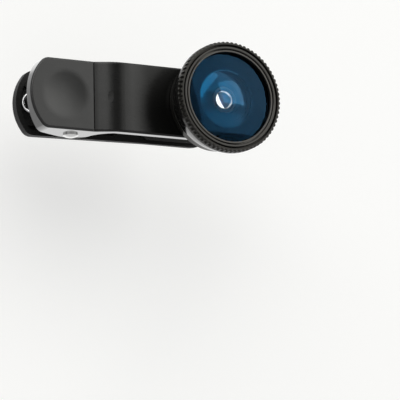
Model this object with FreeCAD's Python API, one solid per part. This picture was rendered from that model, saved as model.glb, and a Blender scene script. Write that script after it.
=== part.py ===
import FreeCAD, Part
import math
import os

# Clip-on phone lens: a sprung clip that carries a wide-angle lens screwed onto a close-up lens.
# Millimetres. +Z is the lens axis, away from the phone. +X runs from the grip end to the jaw tip.
# The origin is where the lens axis meets the face of the upper jaw pad, which lies on the phone.

Vec = FreeCAD.Vector

# Clip, overall
clip_width = 16.5
grip_end_x = -45.1
grip_end_spread = 2.8
grip_corner_radius = 2.5
edge_round = 0.5
phone_thickness = 7.6

# Upper half
arm_top_z = 3.2
arm_underside_z = 1.0
paddle_top_z = 1.2
paddle_skin = 1.6
end_wall = 1.4
ear_wall = 1.12
crease_x = -29.2
crease_width = 0.4
crease_depth = 0.3
ramp_angle = 23.0
ramp_blend_radius = 10.0
skirt_end_z = -1.3
hollow_rise_setback = 0.3
hollow_side_start = 5.1
thumb_x = -36.4
thumb_radius = 5.3
thumb_depth = 0.45
thumb_rim_round = 10.0

# Ears: their outline measured from the pin's centre, and where their front edge meets the arm
ear_depth = 3.2
ear_back_reach = 2.4
ear_back_rise = 0.55
ear_low_reach = 0.3
ear_front_reach = 3.0
ear_front_rise = 0.8
ear_nose_reach = 4.3
ear_nose_depth = 1.5
ear_neck_reach = 4.9
ear_neck_rise = 0.1
ear_top_x = -24.4
ear_top_blend_x = 1.5
ear_top_blend_z = 1.0
skirt_belly = 0.15

# Lower half, drawn with the jaws open by the phone's thickness
lower_side_step = 0.6
lower_end_step = 1.3
lower_bend_x = -14.0
lower_bend_shift = 2.0
lower_handle_angle = 3.75
lower_handle_depth = 2.5
lower_jaw_plate = 1.6
tray_depth = 1.0
tray_wall = 1.2
tray_front_x = -20.0
lug_radius = 3.0
ear_side_gap = 0.16
rib_y = 4.6
rib_width = 1.4
rib_length = 5.5
rib_start = 0.6
rib_root = 0.5
rib_drop = 0.2
spring_guide_y = 3.7
spring_guide_width = 0.7
lug_back_reach = 5.6
lug_front_reach = 6.0
lug_foot_depth = 1.2

# Jaw pads
pad_thickness = 1.3
pad_recess = 0.3
pad_margin = 0.85
pad_back_x = -12.0
pad_round = 0.25
camera_port_margin = 0.7
groove_pitch = 2.0
groove_width = 0.6
groove_depth = 0.35
first_groove = 1.5

# Hinge pin and its cap
pin_x = -33.2
pin_z = -3.7
pin_radius = 1.1
pin_head_radius = 1.8
pin_head_height = 0.85
pin_head_edge = 0.35
pin_tail = 0.42

# Torsion spring
wire_radius = 0.38
coil_radius = 1.95
coil_whole_turns = 2
coil_gap = 0.48
spring_side_gap = 0.2
spring_seat_gap = 0.3

# Close-up lens
close_up_flange_radius = 11.1
close_up_flange_height = 2.0
clip_thread_radius = 5.5
light_bore_radius = 4.3
close_up_cell_radius = 7.6
close_up_front_thread_radius = 8.5
close_up_front_thread_height = 1.6
close_up_seat_height = 0.7
close_up_glass_edge = 0.7
close_up_glass_curve = 40.0
close_up_clear_radius = 6.5
close_up_ring_height = 0.45
light_flare_depth = 0.8

# Wide-angle lens
wide_rear_radius = 11.35
wide_band_front_radius = 12.8
wide_band_height = 5.4
wide_band_crown = 0.12
wide_height = 7.8
knurl_radius = 13.0
knurl_count = 72
knurl_depth = 0.38
flute_width = 0.74
barrel_tube_radius = 11.93
tube_setback = 0.15
trim_groove_width = 0.15
trim_groove_depth = 0.9
front_cell_radius = 11.25
front_glass_recess = 0.4
front_glass_curve = 60.0
front_glass_rear_curve = 14.0
front_glass_rear_radius = 7.5
front_glass_seat_depth = 3.7
spacer_flange = 0.8
funnel_radius = 6.5
funnel_floor_depth = 5.1
funnel_steps = 5
web_thickness = 0.6
rear_glass_radius = 4.0
rear_glass_ledge = 0.7
rear_glass_edge = 1.2
rear_glass_curve = 12.0
rear_cell_wall = 1.3
rear_cell_step = 0.2
rear_ring_height = 0.5
inner_ring_radius = 2.1
inner_ring_height = 0.9
inner_ring_bevel = 0.35
retainer_inner_radius = 10.35
retainer_land_radius = 11.0
retainer_seat = 0.1
retainer_step = 0.4

# Clearances
screw_fit = 0.05
hinge_fit = 0.06
press_fit = 0.02
glass_fit = 0.05
rest_gap = 0.02
thread_end_gap = 0.2
clear_margin = 0.1

# Small edges and spanner slots
edge_break = 0.25
fine_edge = 0.15
thread_lead_in = 0.4
slot_width = 1.0
slot_depth = 0.3

# Sizes worked out from the ones above
half_width = clip_width / 2
grip_end_radius = half_width + grip_end_spread
lower_half_width = half_width - lower_side_step
lower_end_x = grip_end_x + lower_end_step
ear_inner_y = half_width - ear_wall
lug_outer_y = ear_inner_y - ear_side_gap
lug_inner_y = lug_outer_y - ear_wall
lower_pad_face_z = -phone_thickness
lower_jaw_top_z = lower_pad_face_z - pad_thickness + pad_recess
lower_slope = math.tan(math.radians(lower_handle_angle))
lower_end_rim_z = lower_jaw_top_z - lower_slope * (lower_bend_x - lower_end_x)
wide_rear_z = arm_top_z + close_up_flange_height
wide_band_front_z = wide_rear_z + wide_band_height
front_z = wide_rear_z + wide_height
front_glass_seat_z = front_z - front_glass_seat_depth
funnel_floor_z = front_z - funnel_floor_depth
web_rear_z = funnel_floor_z - web_thickness
rear_cell_end_z = wide_rear_z + rear_cell_step
os.makedirs("parts", exist_ok=True)


def save(name, shape):
    """Write one piece to its own file."""
    shape = shape.removeSplitter()
    shape.exportStep("parts/" + name + ".step")
    print(name, "solids", len(shape.Solids), "volume", round(shape.Volume, 2), "valid", shape.isValid())


def closed_face(start, steps, place):
    """Face inside a loop that starts at one point: a step of one point is a straight run,
    a step of two is an arc through the first to the second. place turns a flat point into space."""
    edges = []
    here = start
    for step in steps + [(start,)]:
        if (place(*here) - place(*step[-1])).Length < 1e-6:
            continue
        if len(step) == 1:
            edges.append(Part.LineSegment(place(*here), place(*step[0])).toShape())
        else:
            edges.append(Part.Arc(place(*here), place(*step[0]), place(*step[1])).toShape())
        here = step[-1]
    return Part.Face(Part.Wire(edges))


def side_prism(start, steps, low_y, high_y):
    """Prism of an outline in the XZ plane, from one side position to the other."""
    face = closed_face(start, steps, lambda x, z: Vec(x, low_y, z))
    return face.extrude(Vec(0, high_y - low_y, 0))


def plan_prism(start, steps, low_z, high_z):
    """Prism of an outline in the XY plane, from one height to the other."""
    face = closed_face(start, steps, lambda x, y: Vec(x, y, low_z))
    return face.extrude(Vec(0, 0, high_z - low_z))


def turned(start, steps):
    """Solid of revolution about the lens axis, from an outline of (radius, height) points."""
    face = closed_face(start, steps, lambda r, z: Vec(r, 0, z))
    return face.revolve(Vec(0, 0, 0), Vec(0, 0, 1), 360)


def cross_cylinder(radius, x, z, low_y, high_y):
    """Cylinder across the clip, along Y."""
    return Part.makeCylinder(radius, high_y - low_y, Vec(x, low_y, z), Vec(0, 1, 0))


def sagitta(curve, radius):
    """Height of a spherical cap of the given curve radius over the given rim radius."""
    return curve - math.sqrt(curve * curve - radius * radius)


def clip_plan(end_x, end_radius, half, inset, low_z, high_z):
    """Plan of a clip half: broad round grip end with rounded corners, straight sides, half-round jaw."""
    y = half - inset
    radius = end_radius - inset
    end = end_x + inset
    corner = grip_corner_radius - inset
    corner_y = y - corner
    corner_x = end + radius - math.sqrt((radius - corner) ** 2 - corner_y ** 2)
    bearing = math.atan2(corner_y, corner_x - end - radius)
    middle = (bearing + math.pi / 2) / 2
    middle_x = corner_x + corner * math.cos(middle)
    middle_y = corner_y + corner * math.sin(middle)
    meet_x = corner_x + corner * math.cos(bearing)
    meet_y = corner_y + corner * math.sin(bearing)
    steps = [((0, -y),), ((y, 0), (0, y)), ((corner_x, y),), ((middle_x, middle_y), (meet_x, meet_y)),
             ((end, 0), (meet_x, -meet_y)), ((middle_x, -middle_y), (corner_x, -y))]
    return plan_prism((corner_x, -y), steps, low_z, high_z)


def outline_edges(solid, half, keep):
    """Edges of a solid that run along its outline and satisfy the test on their points."""
    chosen = []
    for edge in solid.Edges:
        points = [edge.valueAt(edge.FirstParameter + f * (edge.LastParameter - edge.FirstParameter))
                  for f in (0.1, 0.5, 0.9)]
        if all(keep(p) for p in points) and max(abs(p.y) for p in points) > half / 3:
            chosen.append(edge)
    return chosen


def pad_shape(half, low_z, high_z, inset):
    """Plan of a jaw pad: straight back, rounded jaw end."""
    y = half - inset
    back = pad_back_x + inset
    return plan_prism((back, -y), [((0, -y),), ((y, 0), (0, y)), ((back, y),)], low_z, high_z)


def slotted(ring, radius, top_z):
    """Ring with two spanner slots cut across its top face."""
    bar = Part.makeBox(3 * radius, slot_width, slot_depth)
    bar.translate(Vec(-1.5 * radius, -slot_width / 2, top_z - slot_depth))
    return ring.cut(bar)


# Upper half of the clip: a moulded shell with paddle, crease, ramp, arm, skirt and two outer ears
angle = math.radians(ramp_angle)
rise = arm_top_z - paddle_top_z
blend_rise = ramp_blend_radius * (1 - math.cos(angle))
blend_start_x = crease_x + (rise - blend_rise) / math.tan(angle)
blend_end_x = blend_start_x + ramp_blend_radius * math.sin(angle)
blend_start = (blend_start_x, arm_top_z - blend_rise)
blend_middle = (blend_end_x - ramp_blend_radius * math.sin(angle / 2),
                arm_top_z - ramp_blend_radius * (1 - math.cos(angle / 2)))
ear_bottom_z = pin_z - ear_depth
ear_back = (pin_x - ear_back_reach, ear_bottom_z + ear_back_rise)
ear_low = (pin_x + ear_low_reach, ear_bottom_z)
ear_front = (pin_x + ear_front_reach, ear_bottom_z + ear_front_rise)
ear_nose = (pin_x + ear_nose_reach, pin_z - ear_nose_depth)
ear_neck = (pin_x + ear_neck_reach, pin_z + ear_neck_rise)
ear_top = (ear_top_x, arm_underside_z)
ear_blend = (ear_top_x - ear_top_blend_x, arm_underside_z - ear_top_blend_z)
skirt_middle = ((grip_end_x + ear_back[0]) / 2, (skirt_end_z + ear_back[1]) / 2 - skirt_belly)
upper_side = side_prism((grip_end_x, paddle_top_z), [
    ((crease_x, paddle_top_z),), (blend_start,), (blend_middle, (blend_end_x, arm_top_z)),
    ((half_width, arm_top_z),), ((half_width, arm_underside_z),), (ear_top,),
    (ear_blend, ear_neck), (ear_nose, ear_front),
    (ear_low, ear_back), (skirt_middle, (grip_end_x, skirt_end_z))], -half_width, half_width)
upper_plan = clip_plan(grip_end_x, grip_end_radius, half_width, 0, ear_bottom_z - 1, arm_top_z + 1)
upper_outer = upper_side.common(upper_plan)


def upper_top_z(x):
    """Height of the upper half's top face."""
    if x <= crease_x:
        return paddle_top_z
    if x <= blend_start_x:
        return paddle_top_z + (x - crease_x) * math.tan(angle)
    if x <= blend_end_x:
        return arm_top_z - sagitta(ramp_blend_radius, blend_end_x - x)
    return arm_top_z


top_edges = outline_edges(upper_outer, half_width, lambda p: abs(p.z - upper_top_z(p.x)) < 0.01
                          and not abs(p.x - crease_x) < 0.01 and not abs(p.x - blend_start_x) < 0.01
                          and not abs(p.x - blend_end_x) < 0.01)
upper_rounded = upper_outer.makeFillet(edge_round, top_edges)

# The hollow under the paddle is open downwards and keeps an even skin
hollow_top_z = paddle_top_z - paddle_skin
hollow_rise_x = crease_x + hollow_rise_setback
hollow_end_x = hollow_rise_x + (arm_underside_z - hollow_top_z) / math.tan(angle)
hollow_side = side_prism((grip_end_x, hollow_top_z), [
    ((hollow_rise_x, hollow_top_z),), ((hollow_end_x, arm_underside_z),), ((0, arm_underside_z),),
    ((0, ear_bottom_z - 2),), ((grip_end_x, ear_bottom_z - 2),)], -ear_inner_y, ear_inner_y)
hollow_plan = clip_plan(grip_end_x, grip_end_radius, half_width, end_wall, ear_bottom_z - 3, arm_top_z)
hollow_plan = hollow_plan.fuse(Part.makeBox(-grip_end_x / 2, 2 * ear_inner_y, arm_top_z - ear_bottom_z + 3,
                                            Vec(grip_end_x + hollow_side_start, -ear_inner_y,
                                                ear_bottom_z - 3)))
upper_shell = upper_rounded.cut(hollow_side.common(hollow_plan))

# Guides under the paddle keep the spring's outer legs beside the ears
for side in (-1, 1):
    guide = Part.makeBox(rib_length, spring_guide_width, tray_depth + rib_root, Vec(
        grip_end_x + end_wall + 2 * rib_start, side * spring_guide_y - spring_guide_width / 2,
        hollow_top_z - tray_depth))
    upper_shell = upper_shell.fuse(guide)

# Crease across the paddle, thumb dimple, lens thread and its lead-in, pad recess, pin holes
crease = Part.makeBox(crease_width, clip_width, crease_depth + 1, Vec(
    crease_x - crease_width, -half_width, paddle_top_z - crease_depth))
thumb_ball_radius = (thumb_radius ** 2 + thumb_depth ** 2) / (2 * thumb_depth)
thumb_ball_z = paddle_top_z - thumb_depth + thumb_ball_radius
thumb_ball = Part.makeSphere(thumb_ball_radius, Vec(thumb_x, 0, thumb_ball_z))
lens_hole = Part.makeCylinder(clip_thread_radius + screw_fit, arm_top_z, Vec(0, 0, 0))
lead_in = Part.makeCone(clip_thread_radius + screw_fit, clip_thread_radius + screw_fit + thread_lead_in,
                        thread_lead_in, Vec(0, 0, arm_top_z - thread_lead_in))
upper_pad_recess = pad_shape(half_width - pad_margin, arm_underside_z - 1, arm_underside_z + pad_recess, 0)
pin_holes = cross_cylinder(pin_radius + press_fit, pin_x, pin_z, -half_width - 1, half_width + 1)
for cutter in (crease, thumb_ball, lens_hole, lead_in, upper_pad_recess, pin_holes):
    upper_shell = upper_shell.cut(cutter)
thumb_rim = []
for edge in upper_shell.Edges:
    reaches = [math.hypot(vertex.X - thumb_x, vertex.Y) for vertex in edge.Vertexes]
    if all(abs(reach - thumb_radius) < 0.001 for reach in reaches):
        thumb_rim.append(edge)
upper_shell = upper_shell.makeFillet(thumb_rim_round, thumb_rim)
save("upper_clip_shell", upper_shell)

# Lower half of the clip: handle tray with a rim, two ribs, inner lugs for the pin, and the lower jaw
lower_bottom_z = lower_jaw_top_z - lower_jaw_plate
lower_bend_bottom_x = lower_bend_x + lower_bend_shift
lower_side = side_prism((lower_end_x, lower_end_rim_z), [
    ((lower_bend_x, lower_jaw_top_z),), ((lower_half_width, lower_jaw_top_z),),
    ((lower_half_width, lower_bottom_z),), ((lower_bend_bottom_x, lower_bottom_z),),
    ((lower_end_x, lower_end_rim_z - lower_handle_depth),)], -lower_half_width, lower_half_width)
lower_plan = clip_plan(lower_end_x, grip_end_radius, lower_half_width, 0,
                       lower_end_rim_z - lower_handle_depth - 1, lower_jaw_top_z + 1)
lower_outer = lower_side.common(lower_plan)
lower_end_bottom_z = lower_end_rim_z - lower_handle_depth
lower_bottom_slope = (lower_bottom_z - lower_end_bottom_z) / (lower_bend_bottom_x - lower_end_x)


def lower_under_z(x):
    """Height of the lower half's underside."""
    return lower_bottom_z - lower_bottom_slope * max(lower_bend_bottom_x - x, 0)


def lower_rim_z(x):
    """Height of the lower half's rim."""
    return lower_jaw_top_z - lower_slope * max(lower_bend_x - x, 0)


under_edges = outline_edges(lower_outer, lower_half_width, lambda p: abs(p.z - lower_under_z(p.x)) < 0.01
                            and abs(p.x - lower_bend_bottom_x) > 0.01)
lower_rounded = lower_outer.makeFillet(edge_round, under_edges)
tray_side = side_prism((lower_end_x, lower_rim_z(lower_end_x) - tray_depth), [
    ((tray_front_x, lower_rim_z(tray_front_x) - tray_depth),),
    ((tray_front_x + tray_depth, lower_jaw_top_z + 1),),
    ((lower_end_x, lower_jaw_top_z + 1),)], -lower_half_width, lower_half_width)
tray_plan = clip_plan(lower_end_x, grip_end_radius, lower_half_width, tray_wall,
                      lower_end_rim_z - 2 * tray_depth, lower_jaw_top_z + 2)
lower_shell = lower_rounded.cut(tray_side.common(tray_plan))


def tangent_point(centre, radius, outside, turn):
    """Where the line from an outside point touches a circle, on the side given by turn."""
    dx = outside[0] - centre[0]
    dz = outside[1] - centre[1]
    bearing = math.atan2(dz, dx) + turn * math.acos(radius / math.hypot(dx, dz))
    return (centre[0] + radius * math.cos(bearing), centre[1] + radius * math.sin(bearing))


lug_foot_back = (pin_x - lug_back_reach, lower_rim_z(pin_x - lug_back_reach) - lug_foot_depth)
lug_foot_front = (pin_x + lug_front_reach, lower_rim_z(pin_x + lug_front_reach) - lug_foot_depth)
pin_centre = (pin_x, pin_z)
lug_back = tangent_point(pin_centre, lug_radius, lug_foot_back, -1)
lug_front = tangent_point(pin_centre, lug_radius, lug_foot_front, 1)
rib_low_x = lower_end_x + tray_wall + rib_start
rib_high_x = rib_low_x + rib_length
rib_root_depth = tray_depth + rib_root
for side in (-1, 1):
    low_y = min(side * lug_inner_y, side * lug_outer_y)
    lug = side_prism(lug_foot_back, [
        (lug_back,), ((pin_x, pin_z + lug_radius), lug_front), (lug_foot_front,)], low_y, low_y + ear_wall)
    rib = side_prism((rib_low_x, lower_rim_z(rib_low_x) - rib_root_depth), [
        ((rib_high_x, lower_rim_z(rib_high_x) - rib_root_depth),),
        ((rib_high_x, lower_rim_z(rib_high_x) - rib_drop),),
        ((rib_low_x, lower_rim_z(rib_low_x) - rib_drop),)],
        side * rib_y - rib_width / 2, side * rib_y + rib_width / 2)
    lower_shell = lower_shell.fuse(lug).fuse(rib)
under_thumb_slope = math.atan(lower_bottom_slope)
under_ball_depth = thumb_ball_radius - thumb_depth
under_thumb = Part.makeSphere(thumb_ball_radius, Vec(
    thumb_x + under_ball_depth * math.sin(under_thumb_slope), 0,
    lower_under_z(thumb_x) - under_ball_depth * math.cos(under_thumb_slope)))
lower_pad_half = lower_half_width - pad_margin
lower_pad_recess = pad_shape(lower_pad_half, lower_jaw_top_z - pad_recess, lower_jaw_top_z + 1, 0)
lug_holes = cross_cylinder(pin_radius + hinge_fit, pin_x, pin_z, -half_width, half_width)
for cutter in (under_thumb, lower_pad_recess, lug_holes):
    lower_shell = lower_shell.cut(cutter)
save("lower_clip_shell", lower_shell)

# Jaw pads: soft rubber, each let into its jaw. The upper one has the port for the phone's camera.
camera_port_radius = clip_thread_radius + camera_port_margin
upper_pad = pad_shape(half_width - pad_margin, 0, pad_thickness, rest_gap)
upper_pad = upper_pad.cut(Part.makeCylinder(camera_port_radius, pad_thickness + 2, Vec(0, 0, -1)))
outer_edges = outline_edges(upper_pad, half_width, lambda p: abs(p.z) < 0.01
                            and math.hypot(p.x, p.y) > camera_port_radius + pad_round)
upper_pad = upper_pad.makeFillet(pad_round, outer_edges)
save("upper_jaw_pad", upper_pad)
lower_pad = pad_shape(lower_pad_half, lower_pad_face_z - pad_thickness, lower_pad_face_z, rest_gap)
grooves = []
groove_count = int((lower_half_width - pad_back_x) / groove_pitch)
for i in range(groove_count):
    grooves.append(Part.makeBox(groove_width, clip_width, groove_depth + 1, Vec(
        pad_back_x + first_groove + groove_pitch * i, -lower_half_width, lower_pad_face_z - groove_depth)))
lower_pad = lower_pad.cut(Part.makeCompound(grooves))
save("lower_jaw_pad", lower_pad)

# Hinge pin with a domed head at the near ear, and the cap pressed on its far end
ear_face = half_width + rest_gap
dome_height = pin_head_height - pin_head_edge
dome_ball = (pin_head_radius ** 2 + dome_height ** 2) / (2 * dome_height)
dome_top_y = -ear_face - pin_head_height
dome = closed_face((0, -ear_face), [
    ((pin_head_radius, -ear_face),), ((pin_head_radius, -ear_face - pin_head_edge),),
    ((pin_head_radius / 2, dome_top_y + sagitta(dome_ball, pin_head_radius / 2)), (0, dome_top_y))],
    lambda r, y: Vec(pin_x + r, y, pin_z))
head = dome.revolve(Vec(pin_x, 0, pin_z), Vec(0, 1, 0), 360)
shank = cross_cylinder(pin_radius, pin_x, pin_z, -ear_face, ear_face + pin_tail)
save("hinge_pin", head.fuse(shank))
cap = head.mirror(Vec(0, 0, 0), Vec(0, 1, 0))
cap_hole = cross_cylinder(pin_radius + press_fit, pin_x, pin_z, 0, ear_face + pin_tail + press_fit)
save("pin_end_cap", cap.cut(cap_hole))


# Torsion spring: one wire, two coils on the pin, a middle loop on the lower handle, outer legs on the upper
def biarc(start, start_way, end, end_way):
    """Two arcs that leave one point and reach another in the given directions, smooth where they meet."""
    run = end - start
    ways = start_way + end_way
    a = ways.dot(ways) - 4
    b = -2 * run.dot(ways)
    c = run.dot(run)
    reach = (-b - math.sqrt(b * b - 4 * a * c)) / (2 * a)
    meet = (start + start_way * reach + end - end_way * reach) * 0.5
    return [arc_from(start, start_way, meet), arc_from(end, end_way * -1, meet)]


def arc_from(start, way, end):
    """Arc that leaves a point in a given direction and ends at another."""
    chord = end - start
    along = Vec(chord).normalize()
    across = way - along * way.dot(along)
    bend = math.acos(max(-1.0, min(1.0, way.dot(along))))
    across.normalize()
    middle = start + chord * 0.5 + across * (chord.Length / 2 * math.tan(bend / 2))
    return Part.Arc(start, middle, end).toShape()


coil_pitch = 2 * wire_radius + coil_gap
coil_outer_y = lug_inner_y - spring_side_gap - wire_radius
end_wall_reach = math.sqrt((grip_end_radius - end_wall) ** 2 - (coil_outer_y + wire_radius) ** 2)
outer_leg_end_x = grip_end_x + grip_end_radius - end_wall_reach + spring_seat_gap
loop_end_x = lower_end_x + tray_wall + spring_seat_gap + wire_radius
outer_leg_z = hollow_top_z - spring_seat_gap - wire_radius
loop_z = lower_rim_z(loop_end_x) - tray_depth + spring_seat_gap + wire_radius
outer_touch = tangent_point(pin_centre, coil_radius, (outer_leg_end_x, outer_leg_z), -1)
loop_touch = tangent_point(pin_centre, coil_radius, (loop_end_x, loop_z), 1)
start_bearing = math.atan2(outer_touch[1] - pin_z, outer_touch[0] - pin_x)
end_bearing = math.atan2(loop_touch[1] - pin_z, loop_touch[0] - pin_x)
turn = (start_bearing - end_bearing) % (2 * math.pi) + 2 * math.pi * coil_whole_turns
loop_half_width = coil_outer_y - coil_pitch * turn / (2 * math.pi)
coil_slope = coil_pitch / (2 * math.pi)


def coil_point(side, share):
    """Point of a coil, from its outer leg at share 0 to the middle loop's leg at share 1."""
    bearing = start_bearing - turn * share
    return Vec(pin_x + coil_radius * math.cos(bearing), side * (coil_outer_y - coil_slope * turn * share),
               pin_z + coil_radius * math.sin(bearing))


def coil_way(side, share):
    """Direction of the wire at a point of a coil."""
    bearing = start_bearing - turn * share
    if share in (0, 1):
        return Vec(math.sin(bearing), 0, -math.cos(bearing))
    way = Vec(coil_radius * math.sin(bearing), -side * coil_slope, -coil_radius * math.cos(bearing))
    return way.normalize()


def coil_edges(side):
    """Biarcs of half a turn or less for one coil, in order from the outer leg inwards."""
    count = math.ceil(turn / math.pi)
    edges = []
    for i in range(count):
        here = i / count
        there = (i + 1) / count
        edges += biarc(coil_point(side, here), coil_way(side, here),
                       coil_point(side, there), coil_way(side, there))
    return edges


loop_way = Vec(loop_end_x - loop_touch[0], 0, loop_z - loop_touch[1]).normalize()
loop_leg = Vec(loop_end_x - loop_touch[0], 0, loop_z - loop_touch[1]).Length - loop_half_width
spring_edges = []
for side in (-1, 1):
    outer_end = Vec(outer_leg_end_x, side * coil_outer_y, outer_leg_z)
    spring_edges.append(Part.LineSegment(outer_end, coil_point(side, 0)).toShape())
    spring_edges += coil_edges(side)
    inner_start = coil_point(side, 1)
    inner_end = inner_start + loop_way * loop_leg
    spring_edges.append(Part.LineSegment(inner_start, inner_end).toShape())
loop_middle = Vec(inner_end.x, 0, inner_end.z) + loop_way * loop_half_width
for side in (-1, 1):
    corner = Vec(inner_end.x, side * loop_half_width, inner_end.z)
    spring_edges.append(arc_from(corner, loop_way, loop_middle))
spring_path = Part.Wire(Part.sortEdges(spring_edges)[0])
start_point = spring_path.OrderedVertexes[0].Point
leg_way = Vec(outer_touch[0] - outer_leg_end_x, 0, outer_touch[1] - outer_leg_z).normalize()
section = Part.Wire(Part.makeCircle(wire_radius, start_point, leg_way))
spring = spring_path.makePipeShell([section], True, False)
save("torsion_spring", spring)
points = spring_path.discretize(Distance=0.15)
least = min((points[i] - points[j]).Length for i in range(len(points)) for j in range(i + 20, len(points)))
print("spring: least gap to itself", round(least - 2 * wire_radius, 3), "mm, wire length",
      round(spring_path.Length, 1), "mm, volume over section times length",
      round(spring.Volume / (math.pi * wire_radius ** 2 * spring_path.Length), 4))

# Close-up barrel: flange on the arm, thread into the clip behind it, thread for the wide-angle lens in front
flange_low_z = arm_top_z + rest_gap
flange_top_z = arm_top_z + close_up_flange_height
close_up_front_z = flange_top_z + close_up_front_thread_height
spigot_end_z = arm_underside_z + pad_recess
close_up_seat_z = arm_top_z + close_up_seat_height
seat_inner_radius = close_up_clear_radius + clear_margin
close_up_barrel = turned((light_bore_radius, spigot_end_z), [
    ((clip_thread_radius - edge_break, spigot_end_z),), ((clip_thread_radius, spigot_end_z + edge_break),),
    ((clip_thread_radius, flange_low_z),), ((close_up_flange_radius - edge_break, flange_low_z),),
    ((close_up_flange_radius, flange_low_z + edge_break),),
    ((close_up_flange_radius, flange_top_z - edge_break),),
    ((close_up_flange_radius - edge_break, flange_top_z),), ((close_up_front_thread_radius, flange_top_z),),
    ((close_up_front_thread_radius, close_up_front_z - edge_break),),
    ((close_up_front_thread_radius - edge_break, close_up_front_z),),
    ((close_up_cell_radius, close_up_front_z),),
    ((close_up_cell_radius, close_up_seat_z),), ((seat_inner_radius, close_up_seat_z),),
    ((light_bore_radius, arm_top_z - light_flare_depth),)])
save("macro_barrel", close_up_barrel)

# Close-up glass: biconvex with a flat ground rim, held by a slotted ring
glass_low_z = close_up_seat_z + rest_gap
glass_high_z = glass_low_z + close_up_glass_edge
glass_bulge = sagitta(close_up_glass_curve, close_up_clear_radius)
half_bulge = glass_bulge - sagitta(close_up_glass_curve, close_up_clear_radius / 2)
close_up_glass = turned((0, glass_low_z - glass_bulge), [
    ((close_up_clear_radius / 2, glass_low_z - half_bulge), (close_up_clear_radius, glass_low_z)),
    ((close_up_cell_radius - glass_fit, glass_low_z),), ((close_up_cell_radius - glass_fit, glass_high_z),),
    ((close_up_clear_radius, glass_high_z),),
    ((close_up_clear_radius / 2, glass_high_z + half_bulge), (0, glass_high_z + glass_bulge))])
save("macro_element", close_up_glass)
ring_low_z = glass_high_z + rest_gap
ring_high_z = ring_low_z + close_up_ring_height
close_up_ring = turned((seat_inner_radius, ring_low_z), [
    ((close_up_cell_radius - press_fit, ring_low_z),), ((close_up_cell_radius - press_fit, ring_high_z),),
    ((seat_inner_radius + fine_edge, ring_high_z),), ((seat_inner_radius, ring_high_z - fine_edge),)])
save("macro_retaining_ring", slotted(close_up_ring, close_up_cell_radius, ring_high_z))

# Wide-angle barrel: smooth tapered band, rear thread, cell for the rear glass, and the front tube
wide_low_z = wide_rear_z + rest_gap
rear_thread_radius = close_up_front_thread_radius + screw_fit
rear_thread_end_z = close_up_front_z + thread_end_gap
cell_outer_radius = rear_glass_radius + rear_cell_wall
web_aperture = rear_glass_radius - rear_glass_ledge
front_seat_z = front_glass_seat_z - spacer_flange
tube_front_z = front_z - tube_setback
band_middle_radius = (wide_rear_radius + wide_band_front_radius) / 2 + wide_band_crown
wide_barrel = turned((web_aperture, web_rear_z), [
    ((rear_glass_radius + press_fit, web_rear_z),), ((rear_glass_radius + press_fit, rear_cell_end_z),),
    ((cell_outer_radius, rear_cell_end_z),), ((cell_outer_radius, rear_thread_end_z),),
    ((rear_thread_radius, rear_thread_end_z),), ((rear_thread_radius, wide_low_z),),
    ((wide_rear_radius - edge_break, wide_low_z),), ((wide_rear_radius, wide_low_z + edge_break),),
    ((band_middle_radius, (wide_low_z + wide_band_front_z) / 2),
     (wide_band_front_radius, wide_band_front_z - edge_break)),
    ((wide_band_front_radius - fine_edge, wide_band_front_z),), ((barrel_tube_radius, wide_band_front_z),),
    ((barrel_tube_radius, tube_front_z - fine_edge),), ((barrel_tube_radius - fine_edge, tube_front_z),),
    ((front_cell_radius + fine_edge, tube_front_z),), ((front_cell_radius, tube_front_z - fine_edge),),
    ((front_cell_radius, front_seat_z),), ((funnel_radius + glass_fit, front_seat_z),),
    ((funnel_radius + glass_fit, funnel_floor_z),), ((web_aperture, funnel_floor_z),)])
save("wide_barrel", wide_barrel)

# Coin-edged front ring: a turned ring with flutes all round its grip band
knurl_low_z = wide_band_front_z + rest_gap
ring_bore = barrel_tube_radius + press_fit
front_ring = turned((ring_bore, knurl_low_z), [
    ((knurl_radius, knurl_low_z),),
    ((knurl_radius, front_z - edge_break),), ((knurl_radius - edge_break, front_z),),
    ((ring_bore + trim_groove_width, front_z),),
    ((ring_bore + trim_groove_width, front_z - trim_groove_depth),),
    ((ring_bore, front_z - trim_groove_depth),)])
flute_floor_radius = knurl_radius - knurl_depth
flute_mouth_radius = knurl_radius + knurl_depth
flute_low_z = knurl_low_z - knurl_depth
flute_top_z = front_z + knurl_depth
flutes = []
for i in range(knurl_count):
    flute = closed_face((flute_mouth_radius, -flute_width), [
        ((flute_floor_radius, 0),), ((flute_mouth_radius, flute_width),)],
        lambda x, y: Vec(x, y, flute_low_z)).extrude(Vec(0, 0, flute_top_z - flute_low_z))
    flutes.append(flute.rotate(Vec(0, 0, 0), Vec(0, 0, 1), 360 * i / knurl_count))
save("knurled_front_ring", front_ring.cut(flutes))

# Front glass: thin in the middle, hollow behind, seated on the spacer
front_vertex_z = front_z - front_glass_recess
front_glass_radius = front_cell_radius - glass_fit
front_bulge = sagitta(front_glass_curve, front_glass_radius)
front_half = sagitta(front_glass_curve, front_glass_radius / 2)
hollow_bulge = sagitta(front_glass_rear_curve, front_glass_rear_radius)
hollow_half = hollow_bulge - sagitta(front_glass_rear_curve, front_glass_rear_radius / 2)
front_low_z = front_glass_seat_z + rest_gap
front_glass = turned((0, front_low_z + hollow_bulge), [
    ((front_glass_rear_radius / 2, front_low_z + hollow_half), (front_glass_rear_radius, front_low_z)),
    ((front_glass_radius, front_low_z),), ((front_glass_radius, front_vertex_z - front_bulge),),
    ((front_glass_radius / 2, front_vertex_z - front_half), (0, front_vertex_z))])
save("front_element", front_glass)

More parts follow.
